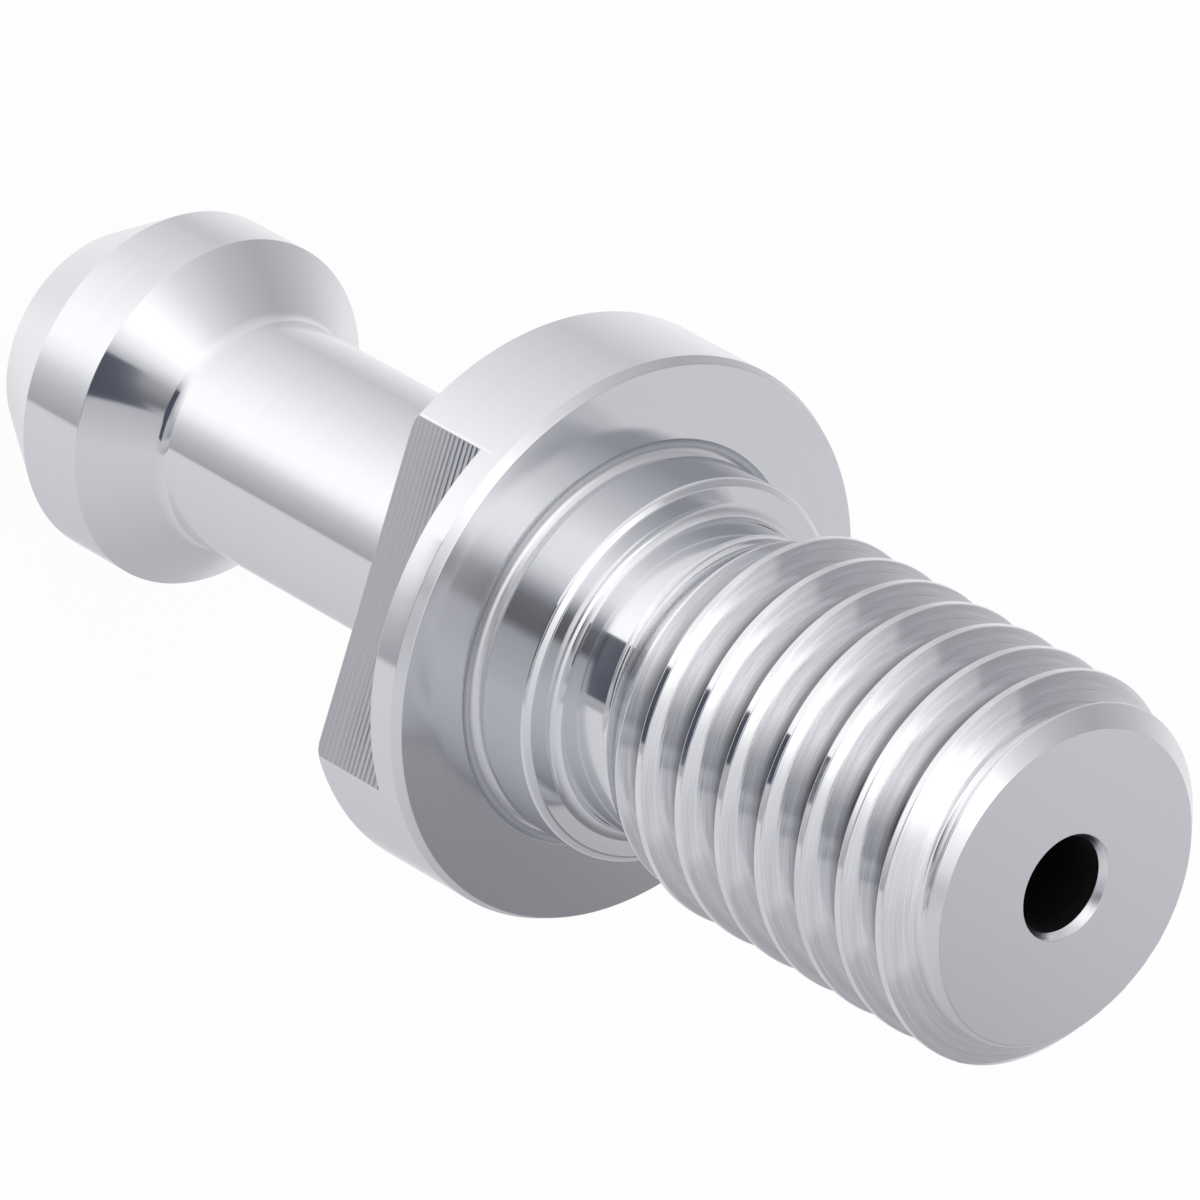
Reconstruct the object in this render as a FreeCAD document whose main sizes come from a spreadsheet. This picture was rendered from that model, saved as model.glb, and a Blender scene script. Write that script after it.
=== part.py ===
import FreeCAD, Part
import os
import Sketcher

# Pull stud for a steep-taper tool holder, turned from one bar.
# Frame: the axis is Z, the head's end face lies on Z = 0 and the thread points up.
# The two wrench flats face -Y and +Y. All sizes are millimetres, angles are degrees.

SIZES = [
    # head that the drawbar's gripper pulls on
    ("head_dia", 15.0, "cylindrical band of the head"),
    ("nose_length", 4.0, "cone from the end face to the band"),
    ("nose_angle", 30.0, "of the nose cone to the axis"),
    ("band_length", 3.3, "cylindrical band"),
    ("pull_angle", 45.0, "of the pull cone to the axis"),
    ("neck_dia", 10.0, "neck between head and flange"),
    ("neck_length", 17.4, "from the pull cone's sharp corner to the flange"),
    ("neck_head_radius", 0.8, "corner of neck and pull cone"),
    ("neck_flange_radius", 1.2, "corner of neck and flange"),
    # flange with its two wrench flats
    ("flange_dia", 23.876, "full round collar"),
    ("flange_length", 5.6, "from the neck side to the seat face"),
    ("flange_rear_break", 0.25, "edge break on the neck side"),
    ("seat_chamfer_radial", 0.2, "chamfer at the seat face, across the axis"),
    ("seat_chamfer_axial", 0.45, "chamfer at the seat face, along the axis"),
    ("across_flats", 19.0, "between the two wrench flats"),
    ("flat_length", 3.95, "of the flats, from the neck side"),
    # pilot that centres the stud in the holder's bore
    ("pilot_dia", 16.256, "ground pilot"),
    ("pilot_length", 3.2, "from the seat face to the step"),
    ("pilot_chamfer_radial", 0.28, "chamfer of the pilot, across the axis"),
    ("pilot_chamfer_axial", 0.2, "chamfer of the pilot, along the axis"),
    ("undercut_radius", 0.47, "round groove in the corner of seat and pilot"),
    ("undercut_out", 0.05, "of the groove's centre, outside the pilot's surface"),
    ("undercut_up", 0.2, "of the groove's centre, above the seat face"),
    # thread, 11 turns to the inch on 5/8 inch
    ("relief_depth", 1.34, "of the thread relief, below the crests"),
    ("relief_radius", 1.0, "corner of relief and step, where the step's face has room for it"),
    ("step_land", 0.05, "least flat ring left of the step's face"),
    ("relief_length", 2.95, "from the step to the thread's bevel"),
    ("bevel_angle", 28.0, "of the long bevel that the first turn rises out of, to the axis"),
    ("thread_dia", 15.875, "over the crests"),
    ("thread_pitch", 2.309, "of the right-hand thread"),
    ("thread_angle", 60.0, "between the flanks"),
    ("thread_depth", 1.417, "of the groove, below the crests"),
    ("root_radius", 0.3, "rounding at the bottom of the groove"),
    ("thread_lead_in", 1.98, "height over the tip at which the groove starts, on +X"),
    ("thread_turns", 9.72, "from there down to where the groove ends in the relief"),
    ("tip_length", 25.4, "from the seat face to the tip's end face"),
    ("tip_chamfer_depth", 1.39, "of the tip's chamfer, below the crests"),
    ("tip_angle", 45.0, "of the tip's chamfer to the axis"),
    # coolant bore right through
    ("bore_dia", 4.0, "coolant bore"),
    ("bore_mouth_dia", 4.44, "wide end of both mouths"),
    ("bore_mouth_depth", 0.35, "of both mouths"),
    ("cut_margin", 2.0, "by which cutting profiles stand clear of the steel"),
]

PART_LABEL = "pull_stud"
FULL_TURN = 360
FLAT_COUNT = 2
LEAST_CUT = 1e-6  # mm3
SAME_POINT = 1e-6  # mm


def make_sheet(doc):
    """The driving dimensions, one row each: name, value, what it measures."""
    sheet = doc.addObject("Spreadsheet::Sheet", "sizes")
    for row, (alias, value, note) in enumerate(SIZES, start=1):
        sheet.set(f"A{row}", alias)
        sheet.set(f"B{row}", str(value))
        sheet.set(f"C{row}", note)
        sheet.setAlias(f"B{row}", alias)
    doc.recompute()
    return sheet


def size(alias):
    """The expression that reads one driving dimension."""
    return f"sizes.{alias}"


def half(alias):
    return f"sizes.{alias} / 2"


# Heights of the turned steps, each an expression on the driving dimensions.
BAND_START = size("nose_length")
BAND_END = f"{BAND_START} + {size('band_length')}"
PULL_CONE = f"({half('head_dia')} - {half('neck_dia')}) / tan({size('pull_angle')} * 1 deg)"
NECK_START = f"{BAND_END} + {PULL_CONE}"
FLANGE_REAR = f"{NECK_START} + {size('neck_length')}"
SEAT = f"{FLANGE_REAR} + {size('flange_length')}"
STEP = f"{SEAT} + {size('pilot_length')}"
BEVEL_START = f"{STEP} + {size('relief_length')}"
BEVEL = f"{size('relief_depth')} / tan({size('bevel_angle')} * 1 deg)"
TIP = f"{SEAT} + {size('tip_length')}"
TIP_CHAMFER = f"{size('tip_chamfer_depth')} / tan({size('tip_angle')} * 1 deg)"

# Radii that follow from others.
NOSE_FACE = f"{half('head_dia')} - {size('nose_length')} * tan({size('nose_angle')} * 1 deg)"
RELIEF = f"{half('thread_dia')} - {size('relief_depth')}"
ROOT = f"{half('thread_dia')} - {size('thread_depth')}"
TIP_FACE = f"{half('thread_dia')} - {size('tip_chamfer_depth')}"
STEP_EDGE = f"{half('pilot_dia')} - {size('pilot_chamfer_radial')}"
STEP_CORNER = f"min({size('relief_radius')}; {STEP_EDGE} - ({RELIEF}) - {size('step_land')})"

# The turned outline from the head's end face to the tip: (radius, height, corner radius or None).
TURNED_OUTLINE = [
    (NOSE_FACE, None, None),
    (half("head_dia"), BAND_START, None),
    (half("head_dia"), BAND_END, None),
    (half("neck_dia"), NECK_START, size("neck_head_radius")),
    (half("neck_dia"), FLANGE_REAR, size("neck_flange_radius")),
    (f"{half('flange_dia')} - {size('flange_rear_break')}", FLANGE_REAR, None),
    (half("flange_dia"), f"{FLANGE_REAR} + {size('flange_rear_break')}", None),
    (half("flange_dia"), f"{SEAT} - {size('seat_chamfer_axial')}", None),
    (f"{half('flange_dia')} - {size('seat_chamfer_radial')}", SEAT, None),
    (half("pilot_dia"), SEAT, None),
    (half("pilot_dia"), f"{STEP} - {size('pilot_chamfer_axial')}", None),
    (STEP_EDGE, STEP, None),
    (RELIEF, STEP, STEP_CORNER),
    (RELIEF, BEVEL_START, None),
    (half("thread_dia"), f"{BEVEL_START} + {BEVEL}", None),
    (half("thread_dia"), f"{TIP} - {TIP_CHAMFER}", None),
    (TIP_FACE, TIP, None),
]


class Outline:
    """A closed sketch outline whose corners and roundings follow expressions."""

    def __init__(self, sketch):
        self.sketch = sketch

    def value(self, expression):
        """The present value of an expression, for placing geometry before it is bound."""
        result = self.sketch.evalExpression(expression)
        return float(getattr(result, "Value", result))

    def bind(self, kind, element, point, expression):
        """Hold one point's distance from an axis, or lay it on the axis where there is none."""
        axis = -2 if kind == "DistanceX" else -1
        if expression is None:
            self.sketch.addConstraint(Sketcher.Constraint("PointOnObject", element, point, axis))
            return
        reach = self.value(expression)
        index = self.sketch.addConstraint(Sketcher.Constraint(kind, -1, 1, element, point, reach))
        self.sketch.setExpression(f"Constraints[{index}]", expression)

    def draw(self, corners):
        """corners: (across, up, rounding) with expressions; None lies on the axis or is sharp."""
        places = []
        for across, up, _ in corners:
            x = 0.0 if across is None else self.value(across)
            y = 0.0 if up is None else self.value(up)
            places.append(FreeCAD.Vector(x, y, 0))
        count = len(corners)
        cuts = [self.rounding_cuts(places, i, corners[i][2]) for i in range(count)]
        lines = []
        for i in range(count):
            start = cuts[i][1]
            end = cuts[(i + 1) % count][0]
            lines.append(self.sketch.addGeometry(Part.LineSegment(start, end), False))
        for i, (across, up, rounding) in enumerate(corners):
            before, after = lines[i - 1], lines[i]
            if rounding is None:
                self.sketch.addConstraint(Sketcher.Constraint("Coincident", before, 2, after, 1))
                self.bind("DistanceX", after, 1, across)
                self.bind("DistanceY", after, 1, up)
            else:
                self.round_corner(before, after, places[i], cuts[i], across, up, rounding)

    def rounding_cuts(self, places, i, rounding):
        """Where the straight edges end at a corner, and the middle of the rounding between."""
        corner = places[i]
        if rounding is None:
            return corner, corner, None
        back = (places[i - 1] - corner).normalize()
        ahead = (places[(i + 1) % len(places)] - corner).normalize()
        radius = self.value(rounding)
        bisector = (back + ahead).normalize()
        cosine = back.dot(bisector)
        sine = (1 - cosine ** 2) ** 0.5
        reach = radius * cosine / sine
        centre = corner + bisector * (radius / sine)
        return corner + back * reach, corner + ahead * reach, centre - bisector * radius

    def round_corner(self, before, after, corner, cut, across, up, rounding):
        """A tangent arc, with the sharp corner kept as a construction point."""
        arc = Part.Arc(cut[0], cut[2], cut[1])
        bend = self.sketch.addGeometry(arc, False)
        starts_first = self.sketch.getPoint(bend, 1).distanceToPoint(cut[0]) < SAME_POINT
        near, far = (1, 2) if starts_first else (2, 1)
        self.sketch.addConstraint(Sketcher.Constraint("Tangent", before, 2, bend, near))
        self.sketch.addConstraint(Sketcher.Constraint("Tangent", after, 1, bend, far))
        radius = self.sketch.addConstraint(Sketcher.Constraint("Radius", bend, self.value(rounding)))
        self.sketch.setExpression(f"Constraints[{radius}]", rounding)
        sharp = self.sketch.addGeometry(Part.Point(corner), True)
        self.sketch.addConstraint(Sketcher.Constraint("PointOnObject", sharp, 1, before))
        self.sketch.addConstraint(Sketcher.Constraint("PointOnObject", sharp, 1, after))
        self.bind("DistanceX", sharp, 1, across)
        self.bind("DistanceY", sharp, 1, up)


def origin_feature(body, role):
    """One of the body's own base planes or axes."""
    return next(item for item in body.Origin.OriginFeatures if item.Role == role)


def new_sketch(body, name, role, lift=None):
    """A sketch on one of the body's base planes, lifted along its normal by an expression."""
    sketch = body.newObject("Sketcher::SketchObject", name)
    sketch.AttachmentSupport = [(origin_feature(body, role), "")]
    sketch.MapMode = "FlatFace"
    if lift is not None:
        sketch.setExpression(".AttachmentOffset.Base.z", lift)
    body.Document.recompute()
    return sketch


def require_cut(doc, before, feature):
    """A cutting feature that points away from the steel removes nothing, so compare volumes."""
    doc.recompute()
    if feature.Shape.Volume > before.Shape.Volume - LEAST_CUT:
        raise RuntimeError(f"{feature.Name} removes nothing")
    return feature


def turn_blank(doc, body):
    """The whole turned form, revolved about the axis."""
    sketch = new_sketch(body, "turned_outline", "XZ_Plane")
    axis_foot = (None, None, None)
    axis_top = (None, TIP, None)
    Outline(sketch).draw([axis_foot] + TURNED_OUTLINE + [axis_top])
    doc.recompute()
    blank = body.newObject("PartDesign::Revolution", "blank")
    blank.Profile = sketch
    blank.ReferenceAxis = (sketch, ["V_Axis"])
    blank.Angle = FULL_TURN
    doc.recompute()
    return blank


def mill_flats(doc, body, before):
    """One wrench flat milled into the flange from the neck side, then its opposite."""
    sketch = new_sketch(body, "flat_outline", "XY_Plane", FLANGE_REAR)
    side = f"{half('flange_dia')} + {size('cut_margin')}"
    near = half("across_flats")
    Outline(sketch).draw([
        (f"-({side})", near, None),
        (side, near, None),
        (side, side, None),
        (f"-({side})", side, None),
    ])
    flat = body.newObject("PartDesign::Pocket", "wrench_flat")
    flat.Profile = sketch
    flat.setExpression("Length", size("flat_length"))
    flat.Reversed = True
    require_cut(doc, before, flat)
    pair = body.newObject("PartDesign::PolarPattern", "wrench_flats")
    pair.Originals = [flat]
    pair.Axis = (sketch, ["N_Axis"])
    pair.Angle = FULL_TURN
    pair.Occurrences = FLAT_COUNT
    body.Tip = pair
    return require_cut(doc, flat, pair)


def cut_undercut(doc, body, before):
    """The round groove that clears the corner of seat face and pilot."""
    sketch = new_sketch(body, "undercut_outline", "XZ_Plane")
    outline = Outline(sketch)
    across = f"{half('pilot_dia')} + {size('undercut_out')}"
    up = f"{SEAT} + {size('undercut_up')}"
    centre = FreeCAD.Vector(outline.value(across), outline.value(up), 0)
    radius = outline.value(size("undercut_radius"))
    ring = sketch.addGeometry(Part.Circle(centre, FreeCAD.Vector(0, 0, 1), radius), False)
    outline.bind("DistanceX", ring, 3, across)
    outline.bind("DistanceY", ring, 3, up)
    index = sketch.addConstraint(Sketcher.Constraint("Radius", ring, radius))
    sketch.setExpression(f"Constraints[{index}]", size("undercut_radius"))
    groove = body.newObject("PartDesign::Groove", "undercut")
    groove.Profile = sketch
    groove.ReferenceAxis = (sketch, ["V_Axis"])
    groove.Angle = FULL_TURN
    return require_cut(doc, before, groove)


def cut_bore(doc, body, before):
    """The coolant bore with a widened mouth at both ends."""
    sketch = new_sketch(body, "bore_outline", "XZ_Plane")
    depth = size("bore_mouth_depth")
    Outline(sketch).draw([
        (None, None, None),
        (half("bore_mouth_dia"), None, None),
        (half("bore_dia"), depth, None),
        (half("bore_dia"), f"{TIP} - {depth}", None),
        (half("bore_mouth_dia"), TIP, None),
        (None, TIP, None),
    ])
    bore = body.newObject("PartDesign::Groove", "coolant_bore")
    bore.Profile = sketch
    bore.ReferenceAxis = (sketch, ["V_Axis"])
    bore.Angle = FULL_TURN
    return require_cut(doc, before, bore)


def cut_thread(doc, body, before):
    """The helical groove, from above the tip down through the bevel and out into the relief."""
    sketch = new_sketch(body, "thread_outline", "XZ_Plane")
    centre = f"{TIP} + {size('thread_lead_in')}"
    slope = f"tan({size('thread_angle')} / 2 * 1 deg)"
    crest = f"{half('thread_dia')} + {size('cut_margin')}"
    # The flanks meet below the rounding; the sharp point lies where the arc touches the root.
    sine = f"sin({size('thread_angle')} / 2 * 1 deg)"
    point = f"{ROOT} + {size('root_radius')} - {size('root_radius')} / {sine}"
    spread = f"({crest} - ({point})) * {slope}"
    Outline(sketch).draw([
        (point, centre, size("root_radius")),
        (crest, f"{centre} - {spread}", None),
        (crest, f"{centre} + {spread}", None),
    ])
    thread = body.newObject("PartDesign::SubtractiveHelix", "thread")
    thread.Profile = sketch
    thread.ReferenceAxis = (sketch, ["V_Axis"])
    thread.Mode = "pitch-turns-angle"
    thread.Reversed = True
    thread.LeftHanded = False
    thread.setExpression("Pitch", size("thread_pitch"))
    thread.setExpression("Turns", size("thread_turns"))
    return require_cut(doc, before, thread)


def check(doc, body):
    """Stop before anything is written if a feature failed or the solid is not sound."""
    for item in doc.Objects:
        if "Invalid" in item.State or "Error" in item.State:
            raise RuntimeError(f"{item.Name}: {item.State}")
    shape = body.Shape
    if shape.isNull() or not shape.isValid() or len(shape.Solids) != 1:
        raise RuntimeError(f"{body.Label} is not one valid solid")


def main():
    doc = FreeCAD.newDocument("pull_stud")
    make_sheet(doc)
    body = doc.addObject("PartDesign::Body", "stud")
    body.Label = PART_LABEL
    doc.recompute()
    blank = turn_blank(doc, body)
    undercut = cut_undercut(doc, body, blank)
    flats = mill_flats(doc, body, undercut)
    thread = cut_thread(doc, body, flats)
    cut_bore(doc, body, thread)
    doc.recompute()
    check(doc, body)
    os.makedirs("parts", exist_ok=True)
    body.Shape.exportStep(f"parts/{body.Label}.step")
    box = body.Shape.optimalBoundingBox()
    print(f"{body.Label}: {box.XLength:.3f} x {box.YLength:.3f} x {box.ZLength:.3f} mm,",
          f"{body.Shape.Volume:.1f} mm3, {len(body.Shape.Faces)} faces")


main()
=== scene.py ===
import math

import bpy
from mathutils import Matrix, Vector


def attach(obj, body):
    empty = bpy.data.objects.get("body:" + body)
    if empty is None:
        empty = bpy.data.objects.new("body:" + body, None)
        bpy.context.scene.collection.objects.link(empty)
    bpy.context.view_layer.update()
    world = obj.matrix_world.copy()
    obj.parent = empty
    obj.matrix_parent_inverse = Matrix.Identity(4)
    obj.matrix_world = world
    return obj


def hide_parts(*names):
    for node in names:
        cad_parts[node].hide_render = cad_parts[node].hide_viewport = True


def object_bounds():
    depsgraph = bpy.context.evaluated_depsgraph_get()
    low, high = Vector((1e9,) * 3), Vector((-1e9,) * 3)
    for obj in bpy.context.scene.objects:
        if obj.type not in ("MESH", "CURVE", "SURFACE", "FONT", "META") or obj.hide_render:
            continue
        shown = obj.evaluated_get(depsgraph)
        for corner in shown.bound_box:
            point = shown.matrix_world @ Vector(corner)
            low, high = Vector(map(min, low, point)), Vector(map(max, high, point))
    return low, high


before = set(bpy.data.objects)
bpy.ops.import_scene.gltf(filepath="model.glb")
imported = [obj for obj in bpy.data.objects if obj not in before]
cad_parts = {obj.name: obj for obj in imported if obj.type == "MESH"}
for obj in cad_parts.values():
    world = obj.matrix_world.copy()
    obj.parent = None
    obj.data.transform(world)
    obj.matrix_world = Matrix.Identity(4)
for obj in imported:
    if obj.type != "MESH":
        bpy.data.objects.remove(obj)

CAD_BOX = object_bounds()
MM = 0.001
STUD = "pull_stud"
TURN = 2 * math.pi

# Camera, in millimetres and degrees: azimuth 0 looks along +Y, roll turns the picture's right side up.
AIM = Vector((-0.848, 0.320, 30.344))
CAMERA_DISTANCE = 515.4
CAMERA_AZIMUTH = 18.6
CAMERA_ELEVATION = 41.447
CAMERA_ROLL = 119.2
LENS = 391.23
SENSOR = 36.0
NEAREST, FARTHEST = 0.01, 20.0  # what the camera sees, in metres

FLOOR_SIZE = 6.0  # in metres
FLOOR_WHITE = 0.9
FLOOR_GLOW = 0.96  # share of the camera's view of the floor that is plain white

# The studio round the stud: how bright each azimuth is, in degrees about the axis from +X.
# Below the horizon, where the upright surfaces mirror the camera's side of the room.
LOW_LEVELS = [
    (-180, 0.94),
    (-169, 1.00),
    (-145, 1.16),
    (-121, 1.30),
    (-104, 1.32),
    (-94, 1.18),
    (-82, 0.84),
    (-72, 0.66),
    (-56, 0.48),
    (-55, 0.84),
    (-24, 0.81),
    (0, 0.78),
    (24, 0.73),
    (48, 0.68),
    (70, 0.86),
    (94, 0.98),
    (119, 0.90),
    (143, 0.74),
    (167, 0.87),
    (180, 0.94),
]
# From just above those rays to the horizon the camera's stand makes a darker upright strip.
STRIP = [(-112, 1.28), (-98, 1.00), (-84, 0.62), (-70, 0.40), (-66, 0.72)]
MID_LEVELS = sorted(STRIP + [stop for stop in LOW_LEVELS if not STRIP[0][0] <= stop[0] <= STRIP[-1][0]])
# At middle height above it, with the camera's own dark shape at -96.
HIGH_LEVELS = [
    (-180, 0.82),
    (-169, 0.94),
    (-145, 1.36),
    (-128, 1.32),
    (-118, 1.00),
    (-110, 0.50),
    (-104, 0.22),
    (-88, 0.16),
    (-83, 0.58),
    (-72, 0.64),
    (-48, 0.78),
    (-24, 0.74),
    (0, 0.63),
    (25, 0.46),
    (49, 0.30),
    (69.2, 0.30),
    (70.4, 0.68),
    (72.5, 0.80),
    (94, 0.70),
    (118, 0.44),
    (143, 0.46),
    (167, 0.66),
    (180, 0.82),
]
# Overhead, where the thread's flanks look.
TOP_LEVELS = [
    (-180, 1.50),
    (-140, 1.65),
    (-122, 1.50),
    (-95, 1.15),
    (-75, 0.98),
    (-45, 0.86),
    (-20, 0.76),
    (0, 0.74),
    (45, 0.62),
    (136, 0.60),
    (147, 0.70),
    (162, 0.95),
    (180, 1.50),
]
# Straight below, where the nose and the bevel look.
FOOT_LEVELS = [(-180, 1.10), (60, 1.08), (88, 0.96), (108, 0.96), (125, 1.10), (180, 1.10)]
# Each set of levels above the lowest, and the two elevations between which it takes over.
BANDS = [
    (LOW_LEVELS, (-80.0, -50.0)),
    (MID_LEVELS, (-38.0, -35.0)),
    (HIGH_LEVELS, (-24.0, 40.0)),
    (TOP_LEVELS, (46.0, 48.2)),
]
SHADE_TINT = (0.90, 0.91, 1.0)  # colour of the darkest light
WHITE_FROM = 1.15  # light of this level or more has no tint

# A dark card close to the stud, mirrored by its thread, relief and pilot: radius, lower edge and
# (azimuth, upper edge) along it, in millimetres and degrees.
CARD_R = 30.0
CARD_FOOT = 16.1
CARD_TOP = [(-108, 33.5), (-84, 33.5), (-80, 27.5), (-68, 26)]
CARD_STEPS = 20
CARD_COLOR = (0.09, 0.095, 0.13, 1)

# Sizes of the turned form, in millimetres, from the head's end face to the tip.
HEAD_R = 7.5
BAND_FOOT = 4.0
BAND_TOP = 7.3
NOSE_ANGLE = math.radians(30)
NOSE_R = HEAD_R - BAND_FOOT * math.tan(NOSE_ANGLE)
NECK_R = 5.0
NECK_FOOT = BAND_TOP + HEAD_R - NECK_R
NECK_FOOT_ROUND = 0.8
NECK_TOP_ROUND = 1.2
FLANGE_R = 11.938
FLANGE_REAR = 27.2
REAR_BREAK = 0.25
FLAT_AT = 9.5
FLAT_TOP = FLANGE_REAR + 3.95
SEAT = 32.8
SEAT_BREAK = (0.2, 0.45)  # across and along the axis
PILOT_R = 8.128
UNDERCUT_R = 0.47
UNDERCUT_CENTRE = (PILOT_R + 0.05, SEAT + 0.2)
STEP = 36.0
STEP_BREAK = (0.28, 0.2)
STEP_ROUND = 1.0
RELIEF_FOOT = STEP + STEP_ROUND
RELIEF_R = 6.5975
CREST_R = 7.9375
BEVEL_START = 38.95
BEVEL_ANGLE = math.radians(28)
BEVEL_END = BEVEL_START + (CREST_R - RELIEF_R) / math.tan(BEVEL_ANGLE)
TIP = 58.2
TIP_FACE_R = 6.5475
CHAMFER_START = TIP - (CREST_R - TIP_FACE_R)
BORE_R = 2.0
MOUTH_R = 2.22
MOUTH_DEPTH = 0.35
PITCH = 2.309
THREAD_DEPTH = 1.417
ROOT_R = CREST_R - THREAD_DEPTH
ROOT_ROUND = 0.3
HALF_ANGLE = math.radians(30)
GROOVE_REACH = 2.5  # how far each flank of the groove runs on past its root
LEAD_IN = 1.98
THREAD_TURNS = 9.72

# Roundings of the edges, in millimetres.
CREST_ROUND = 0.09  # the thread's crests towards the tip
EDGE = 0.10  # the thread's other edges
BEVEL_ROUND = 0.15
STEP_EDGE_ROUND = 0.20
MOUTH_ROUND = 0.04
INNER_ROUND = 0.03  # the undercut's edges and the corner under a flat's ledge
FINE = 0.05  # the other edges
# The most that a rounding takes of the stretches beside it, by the corner's name.
ROUND_SHARES = {"in": 0.7, "out": 0.25}
ROUND_SHARE = 0.45
LARGE_ROUND = 0.3  # a larger one than this gets a step for each LARGE_STEP, and the others get two
LARGE_STEP = math.radians(12)

COLUMNS = 288
FLAT_SIDES = math.radians(0.35)  # how far the two added columns stand from each side of a flat
FLAT_CLEAR = 1.5 * FLAT_SIDES  # and how far the others do at least
ROOT_CHORDS = 8
UNDERCUT_CHORDS = 14
STRAIGHT = 1e-3  # a corner that bends by less than this, in radians, stays as it is
TINY = 1e-9
DISH = 0.0032  # by how much the seat's light leans outward, for each millimetre of radius

# The tool's lines, in millimetres.
ALONG_MILLED = 0.05  # how fast the noise changes along the lines of the flats, for each millimetre
ALONG_TURNED = {"mouth": 0.35, "threaded": 0.2}  # and round turned faces
ALONG_OTHERS = 0.12  # and round the other turned faces
FLANK_CLIMB = 0.02  # how much height counts beside the radius on the thread's flanks
NOISE_ROUGHNESS = 0.6
NOISE_SPAN = (0.3, 0.7)  # where most of the noise's values lie
FINE_DETAIL, BROAD_DETAIL = 3.0, 2.0
BROAD_DENSITY = 0.3  # how dense the broad lines are beside the fine ones
ROUGH_SWING = 4  # how much more the lines show in the roughness than in the colour
MIDDLE = 0.5  # middle of the relief's range
RIDGE_SPREAD, LINE_SPREAD = 0.5, 0.15  # how far from it the colour goes on changing
RIDGE = 0.26  # spacing of the cutter's ridges on the flats
RIDGE_WANDER = 6.0  # by how much noise shifts them, in radians
RIDGE_ENDS = (1.5, 5.0)  # distances from a flat's middle between which they grow from faint to deep
RIDGE_LEDGE = (3.0, 1.0)  # and distances below its ledge
RIDGE_FAINT = (0.25, 0.3)  # how deep they are where they are faint, for each
ROOT_SHADE = 0.15  # painted shade: how much of the colour is kept at the bottom of the groove
SHADE_DEPTH = 0.45  # from the bottom up to where it gives back all
SHADE_FADE = 1.2  # height over which the shade comes in at the bevel and goes out at the open last turn
OPEN_END = 55.0  # height at which the last turn begins to open

# Each finish of the steel: roughness, lines a millimetre, their depth, how much they show, and a colour
# where it isn't STEEL. The order is that of the mesh's material slots.
STEEL = (0.74, 0.745, 0.765)
LOOKS = {
    "turned": (0.085, 8.0, 0.0004, 0.01),
    "ground": (0.09, 8.0, 0.0002, 0.01),
    "faced": (0.12, 8.0, 0.0001, 0.006),
    "seat": (0.14, 8.0, 0.00015, 0.008),
    "rim": (0.12, 8.0, 0.0004, 0.01),
    "undercut": (0.30, 8.0, 0.001, 0.02),
    "milled": (0.20, 3.0, 0.011, 0.13, (0.63, 0.635, 0.655)),
    "threaded": (0.10, 18.0, 0.003, 0.12),
    "mouth": (0.22, 7.0, 0.008, 0.10),
    # The bore's dark colour is painted shade, standing in for the shade inside the hole.
    "bored_painted_shade": (0.30, 6.0, 0.001, 0.02, (0.30, 0.30, 0.31)),
}
FINISHES = list(LOOKS)


class Spot:
    """A point of one column's outline, its outward direction (outward, round, up) and its name."""

    def __init__(self, r, z, out, name, finish):
        self.r, self.z, self.out, self.name, self.finish = r, z, out, name, finish


def unit(*parts):
    """Numbers scaled to a length of one."""
    size = math.sqrt(sum(p * p for p in parts))
    return tuple(p / size for p in parts)


def flat_turn(angle):
    """How far a column lies from the middle of the nearer flat, with its sign."""
    return (angle + math.pi) % math.pi - math.pi / 2


def outward(kind, run, r, angle):
    """Outward direction of a stretch of outline that runs along (dr, dz)."""
    across, up = run[1], -run[0]
    if kind == "milled" and abs(run[0]) < TINY:
        turn = flat_turn(angle)
        return (math.cos(turn), -math.sin(turn), 0.0)
    if kind == "seat":
        return unit(r * DISH, 0.0, up)
    if kind == "rim":
        return unit(1.0, 0.0, 1.0)
    if kind == "threaded":
        return unit(across, -PITCH / (TURN * r) * up, up)
    return (across, 0.0, up)


def groove_outline():
    """The thread's groove: (along the axis from its middle, radius), its round root in short chords."""
    middle = ROOT_R + ROOT_ROUND
    spread = math.pi / 2 - HALF_ANGLE
    arc = []
    for i in range(ROOT_CHORDS + 1):
        swing = -spread + 2 * spread * i / ROOT_CHORDS
        arc.append((ROOT_ROUND * math.sin(swing), middle - ROOT_ROUND * math.cos(swing)))
    rise = GROOVE_REACH / math.tan(HALF_ANGLE)
    first = (arc[0][0] - GROOVE_REACH, arc[0][1] + rise)
    last = (arc[-1][0] + GROOVE_REACH, arc[-1][1] + rise)
    return [first] + arc + [last]


GROOVE = groove_outline()
# The outline before the thread is cut: (z, r), rounding, name and the finish after it.
BLANK = [
    ((RELIEF_FOOT, RELIEF_R), None, "relief", "ground"),
    ((BEVEL_START, RELIEF_R), BEVEL_ROUND, "bevel_foot", "threaded"),
    ((BEVEL_END, CREST_R), EDGE, "bevel_top", "threaded"),
    ((CHAMFER_START, CREST_R), EDGE, "chamfer_foot", "turned"),
    ((TIP, TIP_FACE_R), FINE, "tip", "faced"),
]
BLANK_LINE = [place for place, *_ in BLANK]


def height(line, z):
    """Radius of a chain of (z, r) at z."""
    for (z0, r0), (z1, r1) in zip(line, line[1:]):
        if z <= z1:
            return r0 + (r1 - r0) * (z - z0) / (z1 - z0)
    return line[-1][1]


def crossing(first, second, groove):
    """Where the groove's line meets the blank's between two heights."""
    gap0 = height(groove, first) - height(BLANK_LINE, first)
    gap1 = height(groove, second) - height(BLANK_LINE, second)
    z = first + (second - first) * gap0 / (gap0 - gap1)
    return z, height(BLANK_LINE, z)


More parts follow.
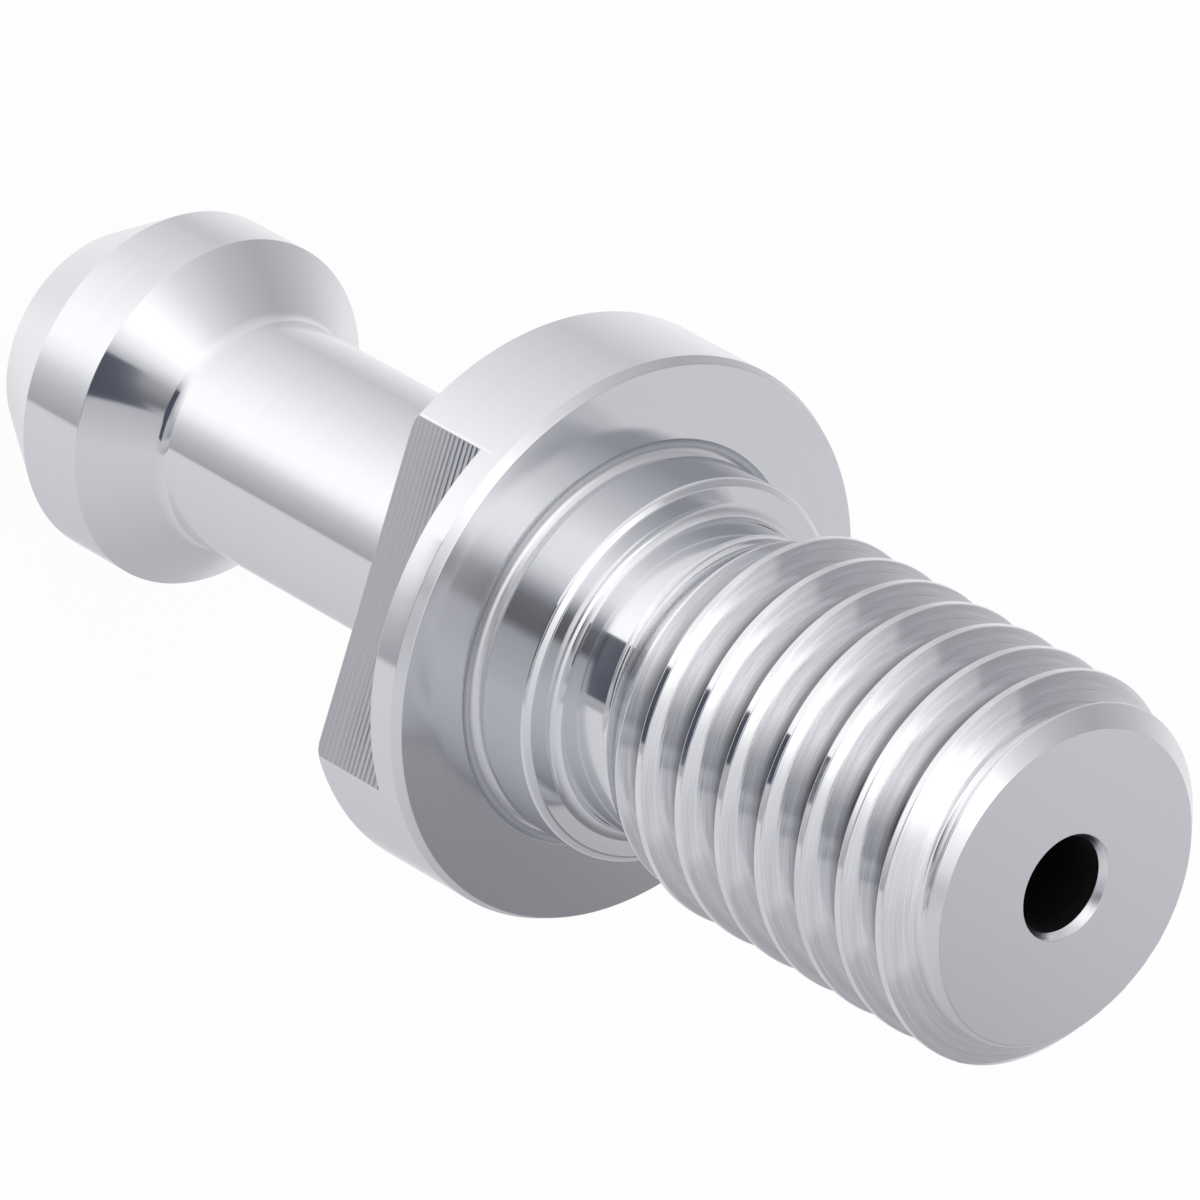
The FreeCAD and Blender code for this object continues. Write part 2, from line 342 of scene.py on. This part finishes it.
def groove_cuts(angle):
    """Each turn's cut in one column, from the relief up: number, start, points inside, end and groove."""
    cuts = []
    for count in range(int(THREAD_TURNS) + 1, -1, -1):
        passed = count - angle / TURN
        if not 0 <= passed <= THREAD_TURNS:
            continue
        middle = TIP + LEAD_IN - PITCH * passed
        groove = [(middle + along, r) for along, r in GROOVE]
        foot, top = max(groove[0][0], RELIEF_FOOT), min(groove[-1][0], TIP)
        heights = sorted({z for z, _ in groove} | {z for z, _ in BLANK_LINE})
        heights = [z for z in heights if foot <= z <= top]
        below = [height(groove, z) < height(BLANK_LINE, z) - TINY for z in heights]
        if not any(below):
            continue
        first = below.index(True)
        last = len(below) - 1 - below[::-1].index(True)
        start = crossing(heights[first - 1], heights[first], groove)
        inside = []
        for i, (z, r) in enumerate(groove):
            if start[0] < z < TIP and below[heights.index(z)]:
                inside.append((z, r, i))
        end = None
        if last < len(below) - 1:
            end = crossing(heights[last], heights[last + 1], groove)
        cuts.append((count, start, inside, end, groove))
    return cuts


def threaded_corners(angle):
    """The outline from the relief to the tip in one column: (r, z, rounding, name, finish after it)."""
    corners = []
    at = 0
    for count, start, inside, end, groove in groove_cuts(angle):
        while at < len(BLANK) and BLANK[at][0][0] < start[0]:
            (z, r), rounding, name, finish = BLANK[at]
            corners.append((r, z, rounding, (name,), finish))
            at += 1
        corners.append((start[1], start[0], CREST_ROUND, ("in", count), "threaded"))
        for z, r, index in inside:
            corners.append((r, z, "chord", ("groove", count, index), "threaded"))
        if end is None:
            corners.append((height(groove, TIP), TIP, FINE, ("tip",), "faced"))
            return corners
        beyond = "threaded" if end[0] < CHAMFER_START else "turned"
        corners.append((end[1], end[0], EDGE, ("out", count), beyond))
        while at < len(BLANK) and BLANK[at][0][0] <= end[0]:
            at += 1
    for (z, r), rounding, name, finish in BLANK[at:]:
        corners.append((r, z, rounding, (name,), finish))
    return corners


def undercut_corners():
    """The round groove in the corner of seat and pilot, in chords."""
    across, up = UNDERCUT_CENTRE
    first = math.asin((SEAT - up) / UNDERCUT_R)
    last = math.acos((PILOT_R - across) / UNDERCUT_R) - TURN
    corners = []
    for i in range(UNDERCUT_CHORDS + 1):
        swing = first + (last - first) * i / UNDERCUT_CHORDS
        rounding = INNER_ROUND if i in (0, UNDERCUT_CHORDS) else "chord"
        finish = "ground" if i == UNDERCUT_CHORDS else "undercut"
        place = (across + UNDERCUT_R * math.cos(swing), up + UNDERCUT_R * math.sin(swing))
        corners.append((place[0], place[1], rounding, ("undercut", i), finish))
    return corners


def flange_corners(angle):
    """Neck side, collar and, in front of a flat, the flat and its ledge."""
    reach = FLAT_AT / math.cos(flat_turn(angle))
    break_r = FLANGE_R - REAR_BREAK
    if reach >= FLANGE_R:
        return [
            (break_r, FLANGE_REAR, FINE, ("rear_in",), "turned"),
            (FLANGE_R, FLANGE_REAR + REAR_BREAK, FINE, ("rear_out",), "turned"),
        ]
    corners = []
    if reach > break_r:
        corners.append((break_r, FLANGE_REAR, FINE, ("rear_in",), "turned"))
        corners.append((reach, FLANGE_REAR + reach - break_r, FINE, ("flat_foot",), "milled"))
    else:
        corners.append((reach, FLANGE_REAR, FINE, ("flat_foot",), "milled"))
    corners.append((reach, FLAT_TOP, INNER_ROUND, ("flat_top",), "milled"))
    corners.append((FLANGE_R, FLAT_TOP, FINE, ("ledge",), "turned"))
    return corners


def column_corners(angle):
    """Every corner of the closed outline in one column, from the head's end face round to the bore."""
    return [
        (MOUTH_R, 0.0, MOUTH_ROUND, ("foot_mouth",), "faced"),
        (NOSE_R, 0.0, FINE, ("nose",), "turned"),
        (HEAD_R, BAND_FOOT, FINE, ("band_foot",), "turned"),
        (HEAD_R, BAND_TOP, FINE, ("band_top",), "turned"),
        (NECK_R, NECK_FOOT, NECK_FOOT_ROUND, ("neck_foot",), "turned"),
        (NECK_R, FLANGE_REAR, NECK_TOP_ROUND, ("neck_top",), "turned"),
        *flange_corners(angle),
        (FLANGE_R, SEAT - SEAT_BREAK[1], FINE, ("seat_foot",), "rim"),
        (FLANGE_R - SEAT_BREAK[0], SEAT, FINE, ("seat_edge",), "seat"),
        *undercut_corners(),
        (PILOT_R, STEP - STEP_BREAK[1], STEP_EDGE_ROUND, ("pilot_top",), "turned"),
        (PILOT_R - STEP_BREAK[0], STEP, STEP_EDGE_ROUND, ("step_edge",), "turned"),
        (RELIEF_R, STEP, STEP_ROUND, ("step_corner",), "ground"),
        *threaded_corners(angle)[1:],
        (MOUTH_R, TIP, MOUTH_ROUND, ("tip_mouth",), "mouth"),
        (BORE_R, TIP - MOUTH_DEPTH, MOUTH_ROUND, ("bore_top",), "bored_painted_shade"),
        (BORE_R, MOUTH_DEPTH, MOUTH_ROUND, ("bore_foot",), "mouth"),
    ]


def run_between(a, b):
    """Direction and length from one point of an outline to another."""
    length = math.hypot(b[0] - a[0], b[1] - a[1])
    return ((b[0] - a[0]) / length, (b[1] - a[1]) / length), length


def rounded(corners, angle):
    """Spots of one column, each corner turned into a short arc with the directions of its two sides."""
    spots = []
    count = len(corners)
    for i, (r, z, rounding, name, finish) in enumerate(corners):
        before, after = corners[i - 1], corners[(i + 1) % count]
        run_in, length_in = run_between(before, (r, z))
        run_out, length_out = run_between((r, z), after)
        out_in = outward(before[4], run_in, r, angle)
        out_out = outward(finish, run_out, r, angle)
        bend = run_in[0] * run_out[1] - run_in[1] * run_out[0]
        turn = math.atan2(bend, run_in[0] * run_out[0] + run_in[1] * run_out[1])
        if rounding == "chord" or abs(turn) < STRAIGHT:
            mean = unit(*(a + b for a, b in zip(out_in, out_out)))
            spots.append(Spot(r, z, mean, name + (0,), finish))
            continue
        slope = math.tan(abs(turn) / 2)
        reach = ROUND_SHARES.get(name[0], ROUND_SHARE)
        back = min(rounding * slope, reach * length_in, reach * length_out)
        radius = back / slope
        start = (r - run_in[0] * back, z - run_in[1] * back)
        side = math.copysign(1, turn)
        centre = (start[0] - side * radius * run_in[1], start[1] + side * radius * run_in[0])
        steps = max(2, round(abs(turn) / LARGE_STEP)) if rounding > LARGE_ROUND else 2
        for k in range(steps + 1):
            share = k / steps
            swing = turn * share
            along = (run_in[1], -run_in[0])
            turned = (
                along[0] * math.cos(swing) - along[1] * math.sin(swing),
                along[0] * math.sin(swing) + along[1] * math.cos(swing),
            )
            place = (centre[0] + side * radius * turned[0], centre[1] + side * radius * turned[1])
            blend = unit(*(a * (1 - share) + b * share for a, b in zip(out_in, out_out)))
            spots.append(Spot(place[0], place[1], blend, name + (k,), finish if k == steps else "edge"))
    for i, spot in enumerate(spots):
        if spot.finish == "edge":
            spot.finish = next(s.finish for s in spots[i:] + spots[:i] if s.finish != "edge")
    return spots


def column_angles():
    """Even columns, with two more beside each side of the flats."""
    angles = {TURN * i / COLUMNS for i in range(COLUMNS)}
    half = math.acos(FLAT_AT / FLANGE_R)
    for middle in (math.pi / 2, 3 * math.pi / 2):
        for edge in (middle - half, middle + half):
            angles = {a for a in angles if abs(a - edge) > FLAT_CLEAR}
            angles |= {edge - FLAT_SIDES, edge + FLAT_SIDES}
    return sorted(angles)


def next_turn(name):
    """The name that a spot of the thread has one turn further on, where the columns close."""
    if name[0] in ("in", "out", "groove"):
        return (name[0], name[1] + 1) + name[2:]
    return name


def join(left, right, left_names, right_names, faces, finishes, spots):
    """Faces between two neighbouring columns, from one shared name to the next."""
    where = {name: i for i, name in enumerate(right_names)}
    anchors = []
    lowest = -1
    for i, name in enumerate(left_names):
        k = where.get(name, -1)
        if k > lowest:
            anchors.append((i, k))
            lowest = k
    ends = anchors[1:] + [(anchors[0][0] + len(left), anchors[0][1] + len(right))]
    for (i, k), (i_end, k_end) in zip(anchors, ends):
        while i < i_end or k < k_end:
            a, b = left[i % len(left)], right[k % len(right)]
            finish = spots[b].finish if spots[a].finish == "milled" else spots[a].finish
            finishes.append(finish)
            left_next, right_next = left[(i + 1) % len(left)], right[(k + 1) % len(right)]
            if i_end - i == 1 and k_end - k == 1:
                faces.append((a, b, right_next, left_next))
                break
            go_left = k == k_end
            if i < i_end and k < k_end:
                reach_left = math.hypot(spots[left_next].r - spots[b].r, spots[left_next].z - spots[b].z)
                reach_right = math.hypot(spots[right_next].r - spots[a].r, spots[right_next].z - spots[a].z)
                go_left = reach_left <= reach_right
            if go_left:
                faces.append((a, b, left_next))
                i += 1
            else:
                faces.append((a, b, right_next))
                k += 1


def stud_mesh():
    """The stud column by column: outline, groove and flats, with every edge slightly rounded."""
    spots, columns, places, directions = [], [], [], []
    for angle in column_angles():
        column = rounded(column_corners(angle), angle)
        columns.append(range(len(spots), len(spots) + len(column)))
        cosine, sine = math.cos(angle), math.sin(angle)
        for spot in column:
            out, round_, up = spot.out
            places.append((spot.r * cosine * MM, spot.r * sine * MM, spot.z * MM))
            directions.append((out * cosine - round_ * sine, out * sine + round_ * cosine, up))
        spots += column
    faces, finishes = [], []
    for here, there in zip(columns, columns[1:] + columns[:1]):
        here_names = [spots[i].name for i in here]
        there_names = [spots[i].name for i in there]
        if there is columns[0]:
            there_names = [next_turn(name) for name in there_names]
        join(here, there, here_names, there_names, faces, finishes, spots)
    mesh = bpy.data.meshes.new("stud")
    mesh.from_pydata(places, [], faces)
    mesh.polygons.foreach_set("material_index", [FINISHES.index(finish) for finish in finishes])
    mesh.polygons.foreach_set("use_smooth", [True] * len(faces))
    mesh.update()
    mesh.normals_split_custom_set_from_vertices(directions)
    return mesh


def node(tree, kind, **settings):
    """A shader node with its plain settings."""
    made = tree.nodes.new(kind)
    for name, value in settings.items():
        setattr(made, name, value)
    return made


def feed(tree, value, socket):
    """A number or another node's output into a socket."""
    if isinstance(value, (int, float)):
        socket.default_value = value
    elif value is not None:
        tree.links.new(value, socket)


def math_node(tree, operation, first, second=None):
    """One step of arithmetic on sockets or numbers."""
    step = node(tree, "ShaderNodeMath", operation=operation)
    feed(tree, first, step.inputs[0])
    feed(tree, second, step.inputs[1])
    return step.outputs[0]


def map_range(tree, value, low, high, to_low, to_high):
    """A socket's value carried from one range to another and held at its ends."""
    step = node(tree, "ShaderNodeMapRange")
    feed(tree, value, step.inputs["Value"])
    for name, number in (("From Min", low), ("From Max", high), ("To Min", to_low), ("To Max", to_high)):
        step.inputs[name].default_value = number
    return step.outputs["Result"]


def split_axes(tree, output):
    """X, Y and Z of one of the Texture Coordinate node's outputs."""
    place = node(tree, "ShaderNodeTexCoord")
    axes = node(tree, "ShaderNodeSeparateXYZ")
    tree.links.new(place.outputs[output], axes.inputs[0])
    return [axes.outputs[axis] for axis in "XYZ"]


def distance_node(tree, x, y):
    """Distance from the axis."""
    squares = [math_node(tree, "MULTIPLY", axis, axis) for axis in (x, y)]
    return math_node(tree, "SQRT", math_node(tree, "ADD", *squares))


def emptied(block):
    """The node tree of a material or world, with nothing in it."""
    block.use_nodes = True
    block.node_tree.nodes.clear()
    return block.node_tree


def mix_for_camera(tree, share, plain, seen):
    """One shader, with a share of another for what the camera sees directly."""
    mix = node(tree, "ShaderNodeMixShader")
    tree.links.new(share, mix.inputs["Fac"])
    tree.links.new(plain.outputs[0], mix.inputs[1])
    tree.links.new(seen.outputs[0], mix.inputs[2])
    return mix


def add_object(name, data):
    """An object round some data, in the scene."""
    thing = bpy.data.objects.new(name, data)
    bpy.context.scene.collection.objects.link(thing)
    return thing


def make_camera():
    """The photo's camera."""
    azimuth, elevation = math.radians(CAMERA_AZIMUTH), math.radians(CAMERA_ELEVATION)
    level = math.cos(elevation)
    forward = Vector((math.sin(azimuth) * level, math.cos(azimuth) * level, -math.sin(elevation)))
    data = bpy.data.cameras.new("camera")
    data.lens = LENS
    data.sensor_width = SENSOR
    data.clip_start = NEAREST
    data.clip_end = FARTHEST
    camera = add_object("camera", data)
    turn = forward.to_track_quat("-Z", "Y").to_matrix().to_4x4()
    roll = Matrix.Rotation(math.radians(CAMERA_ROLL), 4, "Z")
    place = (AIM - forward * CAMERA_DISTANCE) * MM
    camera.matrix_world = Matrix.Translation(place) @ turn @ roll
    bpy.context.scene.camera = camera


def floor_material():
    """Matt white paper, mostly plain white to the camera and with the stud's shadow in the rest."""
    material = bpy.data.materials.new("floor_white")
    tree = emptied(material)
    output = node(tree, "ShaderNodeOutputMaterial")
    paper = node(tree, "ShaderNodeBsdfDiffuse")
    paper.inputs["Color"].default_value = (FLOOR_WHITE, FLOOR_WHITE, FLOOR_WHITE, 1)
    glow = node(tree, "ShaderNodeEmission")
    path = node(tree, "ShaderNodeLightPath")
    share = math_node(tree, "MULTIPLY", path.outputs["Is Camera Ray"], FLOOR_GLOW)
    mix = mix_for_camera(tree, share, paper, glow)
    tree.links.new(mix.outputs[0], output.inputs["Surface"])
    return material


def make_floor():
    """A pale sheet under the stud's head. The studio's lights, not the sheet, show in the steel."""
    half = FLOOR_SIZE / 2
    mesh = bpy.data.meshes.new("floor")
    corners = [(-half, -half, 0), (half, -half, 0), (half, half, 0), (-half, half, 0)]
    mesh.from_pydata(corners, [], [(0, 1, 2, 3)])
    floor = add_object("floor", mesh)
    floor.location.z = CAD_BOX[0][2]
    floor.data.materials.append(floor_material())
    floor.visible_glossy = False
    floor.visible_shadow = False


def level_ramp(tree, azimuth, levels):
    """Brightness by azimuth; the darker it is, the cooler."""
    place = map_range(tree, azimuth, -math.pi, math.pi, 0.0, 1.0)
    ramp = node(tree, "ShaderNodeValToRGB")
    stops = ramp.color_ramp.elements
    while len(stops) > 1:
        stops.remove(stops[-1])
    for index, (degrees, level) in enumerate(levels):
        spot = (degrees + 180) / 360
        stop = stops[0] if index == 0 else stops.new(spot)
        stop.position = spot
        share = max(0.0, min(1.0, WHITE_FROM - level))
        stop.color = tuple(level * (1 - share * (1 - tint)) for tint in SHADE_TINT) + (1.0,)
    tree.links.new(place, ramp.inputs["Fac"])
    return ramp.outputs["Color"]


def make_studio():
    """Tall soft lights all round, as a world whose brightness depends on where it is seen."""
    world = bpy.data.worlds.new("studio")
    bpy.context.scene.world = world
    tree = emptied(world)
    output = node(tree, "ShaderNodeOutputWorld")
    x, y, z = split_axes(tree, "Generated")
    azimuth = math_node(tree, "ARCTAN2", y, x)
    color = level_ramp(tree, azimuth, FOOT_LEVELS)
    for levels, elevations in BANDS:
        low, high = (math.sin(math.radians(elevation)) for elevation in elevations)
        share = map_range(tree, z, low, high, 0.0, 1.0)
        blend = node(tree, "ShaderNodeMix", data_type="RGBA")
        tree.links.new(share, blend.inputs["Factor"])
        tree.links.new(color, blend.inputs["A"])
        tree.links.new(level_ramp(tree, azimuth, levels), blend.inputs["B"])
        color = blend.outputs["Result"]
    light = node(tree, "ShaderNodeBackground")
    tree.links.new(color, light.inputs["Color"])
    white = node(tree, "ShaderNodeBackground")
    path = node(tree, "ShaderNodeLightPath")
    mix = mix_for_camera(tree, path.outputs["Is Camera Ray"], light, white)
    tree.links.new(mix.outputs[0], output.inputs["Surface"])


def card_top(azimuth):
    """Height of the card's upper edge at an azimuth."""
    for (a0, top0), (a1, top1) in zip(CARD_TOP, CARD_TOP[1:]):
        if azimuth <= a1:
            return top0 + (top1 - top0) * (azimuth - a0) / (a1 - a0)
    return CARD_TOP[-1][1]


def make_card():
    """A dark strip round part of the stud, seen only in reflections."""
    first, last = CARD_TOP[0][0], CARD_TOP[-1][0]
    mesh = bpy.data.meshes.new("card")
    places, faces = [], []
    for step in range(CARD_STEPS + 1):
        azimuth = first + (last - first) * step / CARD_STEPS
        x = CARD_R * math.cos(math.radians(azimuth)) * MM
        y = CARD_R * math.sin(math.radians(azimuth)) * MM
        places += [(x, y, CARD_FOOT * MM), (x, y, card_top(azimuth) * MM)]
        if step:
            faces.append((2 * step - 2, 2 * step, 2 * step + 1, 2 * step - 1))
    mesh.from_pydata(places, [], faces)
    card = add_object("card", mesh)
    material = bpy.data.materials.new("card_dark")
    tree = emptied(material)
    output = node(tree, "ShaderNodeOutputMaterial")
    glow = node(tree, "ShaderNodeEmission")
    glow.inputs["Color"].default_value = CARD_COLOR
    tree.links.new(glow.outputs[0], output.inputs["Surface"])
    card.data.materials.append(material)
    card.visible_camera = False
    card.visible_diffuse = False
    card.visible_shadow = False


def lay(tree, kind):
    """Coordinates in which a noise turns into the tool's lines, at one unit a millimetre across them."""
    x, y, z = (math_node(tree, "DIVIDE", axis, MM) for axis in split_axes(tree, "Object"))
    vector = node(tree, "ShaderNodeCombineXYZ")
    if kind == "milled":
        feed(tree, math_node(tree, "MULTIPLY", x, ALONG_MILLED), vector.inputs["X"])
        feed(tree, z, vector.inputs["Z"])
        return vector.outputs[0]
    radius = distance_node(tree, x, y)
    slow = ALONG_TURNED.get(kind, ALONG_OTHERS)
    for axis, name in ((x, "X"), (y, "Y")):
        share = math_node(tree, "DIVIDE", axis, radius)
        feed(tree, math_node(tree, "MULTIPLY", share, slow), vector.inputs[name])
    climb = math_node(tree, "MULTIPLY", z, FLANK_CLIMB if kind == "threaded" else 1.0)
    feed(tree, math_node(tree, "ADD", radius, climb), vector.inputs["Z"])
    return vector.outputs[0]


def lines(tree, vector, density, detail):
    """Noise drawn out along the tool's path."""
    noise = node(tree, "ShaderNodeTexNoise")
    noise.inputs["Scale"].default_value = density
    noise.inputs["Detail"].default_value = detail
    noise.inputs["Roughness"].default_value = NOISE_ROUGHNESS
    tree.links.new(vector, noise.inputs["Vector"])
    return noise.outputs["Fac"]


def deep_shade(tree, color):
    """A thread's colour with painted shade, darker towards the bottom of its groove."""
    x, y, z = split_axes(tree, "Object")
    radius = distance_node(tree, x, y)
    light = map_range(tree, radius, ROOT_R * MM, (ROOT_R + SHADE_DEPTH) * MM, ROOT_SHADE, 1.0)
    opened = map_range(tree, z, OPEN_END * MM, (OPEN_END + SHADE_FADE) * MM, 0.0, 1.0)
    started = map_range(tree, z, (BEVEL_END - SHADE_FADE) * MM, BEVEL_END * MM, 1.0, 0.0)
    # painted shade: none at the bevel's start and at the open last turn
    light = math_node(tree, "MAXIMUM", light, math_node(tree, "MAXIMUM", opened, started))
    shade = node(tree, "ShaderNodeMix", data_type="RGBA", blend_type="MULTIPLY")
    shade.inputs["Factor"].default_value = 1.0
    tree.links.new(color, shade.inputs["A"])
    tree.links.new(light, shade.inputs["B"])
    return shade.outputs["Result"]


def ridges(tree, noise):
    """The cutter's even ridges along a flat, deeper towards its ends and its ledge."""
    x, _, z = split_axes(tree, "Object")
    phase = math_node(tree, "MULTIPLY", z, TURN / (RIDGE * MM))
    wander = math_node(tree, "MULTIPLY", noise, RIDGE_WANDER)
    wave = math_node(tree, "SINE", math_node(tree, "ADD", phase, wander))
    faint, deep = RIDGE_ENDS
    ends = map_range(tree, math_node(tree, "ABSOLUTE", x), faint * MM, deep * MM, RIDGE_FAINT[0], 1.0)
    faint, deep = RIDGE_LEDGE
    ledge = map_range(tree, z, (FLAT_TOP - faint) * MM, (FLAT_TOP - deep) * MM, RIDGE_FAINT[1], 1.0)
    swell = math_node(tree, "MULTIPLY", math_node(tree, "MULTIPLY", ends, ledge), MIDDLE)
    return math_node(tree, "ADD", math_node(tree, "MULTIPLY", wave, swell), MIDDLE)


def steel(kind, roughness, density, depth, contrast, color=STEEL):
    """Bright steel with the tool's fine lines: how many a millimetre, how deep and how much they show."""
    material = bpy.data.materials.new(f"steel_{kind}")
    material.use_nodes = True
    tree = material.node_tree
    shader = tree.nodes["Principled BSDF"]
    shader.inputs["Metallic"].default_value = 1.0
    vector = lay(tree, kind)
    fine = lines(tree, vector, density, FINE_DETAIL)
    broad = lines(tree, vector, density * BROAD_DENSITY, BROAD_DETAIL)
    swing = ROUGH_SWING * contrast
    rough = map_range(tree, fine, *NOISE_SPAN, roughness * (1 - swing), roughness * (1 + swing))
    tree.links.new(rough, shader.inputs["Roughness"])
    if kind == "milled":
        relief, spread = ridges(tree, broad), RIDGE_SPREAD
    else:
        mean = math_node(tree, "MULTIPLY", math_node(tree, "ADD", fine, broad), 0.5)
        relief, spread = mean, LINE_SPREAD
    share = map_range(tree, relief, MIDDLE - spread, MIDDLE + spread, 0.0, 1.0)
    shade = node(tree, "ShaderNodeMix", data_type="RGBA")
    tree.links.new(share, shade.inputs["Factor"])
    shade.inputs["A"].default_value = tuple(part * (1 - contrast) for part in color) + (1,)
    shade.inputs["B"].default_value = tuple(min(1.0, part * (1 + contrast)) for part in color) + (1,)
    shaded = shade.outputs["Result"]
    # The thread's colour gets painted shade, darker down its groove.
    if kind == "threaded":
        shaded = deep_shade(tree, shaded)
    tree.links.new(shaded, shader.inputs["Base Color"])
    bump = node(tree, "ShaderNodeBump")
    bump.inputs["Strength"].default_value = 1.0
    bump.inputs["Distance"].default_value = depth * MM
    tree.links.new(relief, bump.inputs["Height"])
    tree.links.new(bump.outputs[0], shader.inputs["Normal"])
    return material


def finish_stud():
    """The dressed stud in place of the plain solid."""
    stud = add_object("stud", stud_mesh())
    for finish, look in LOOKS.items():
        stud.data.materials.append(steel(finish, *look))
    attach(stud, "root")
    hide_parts(STUD)


bpy.context.scene.view_settings.view_transform = "Standard"
make_camera()
make_studio()
make_floor()
make_card()
finish_stud()
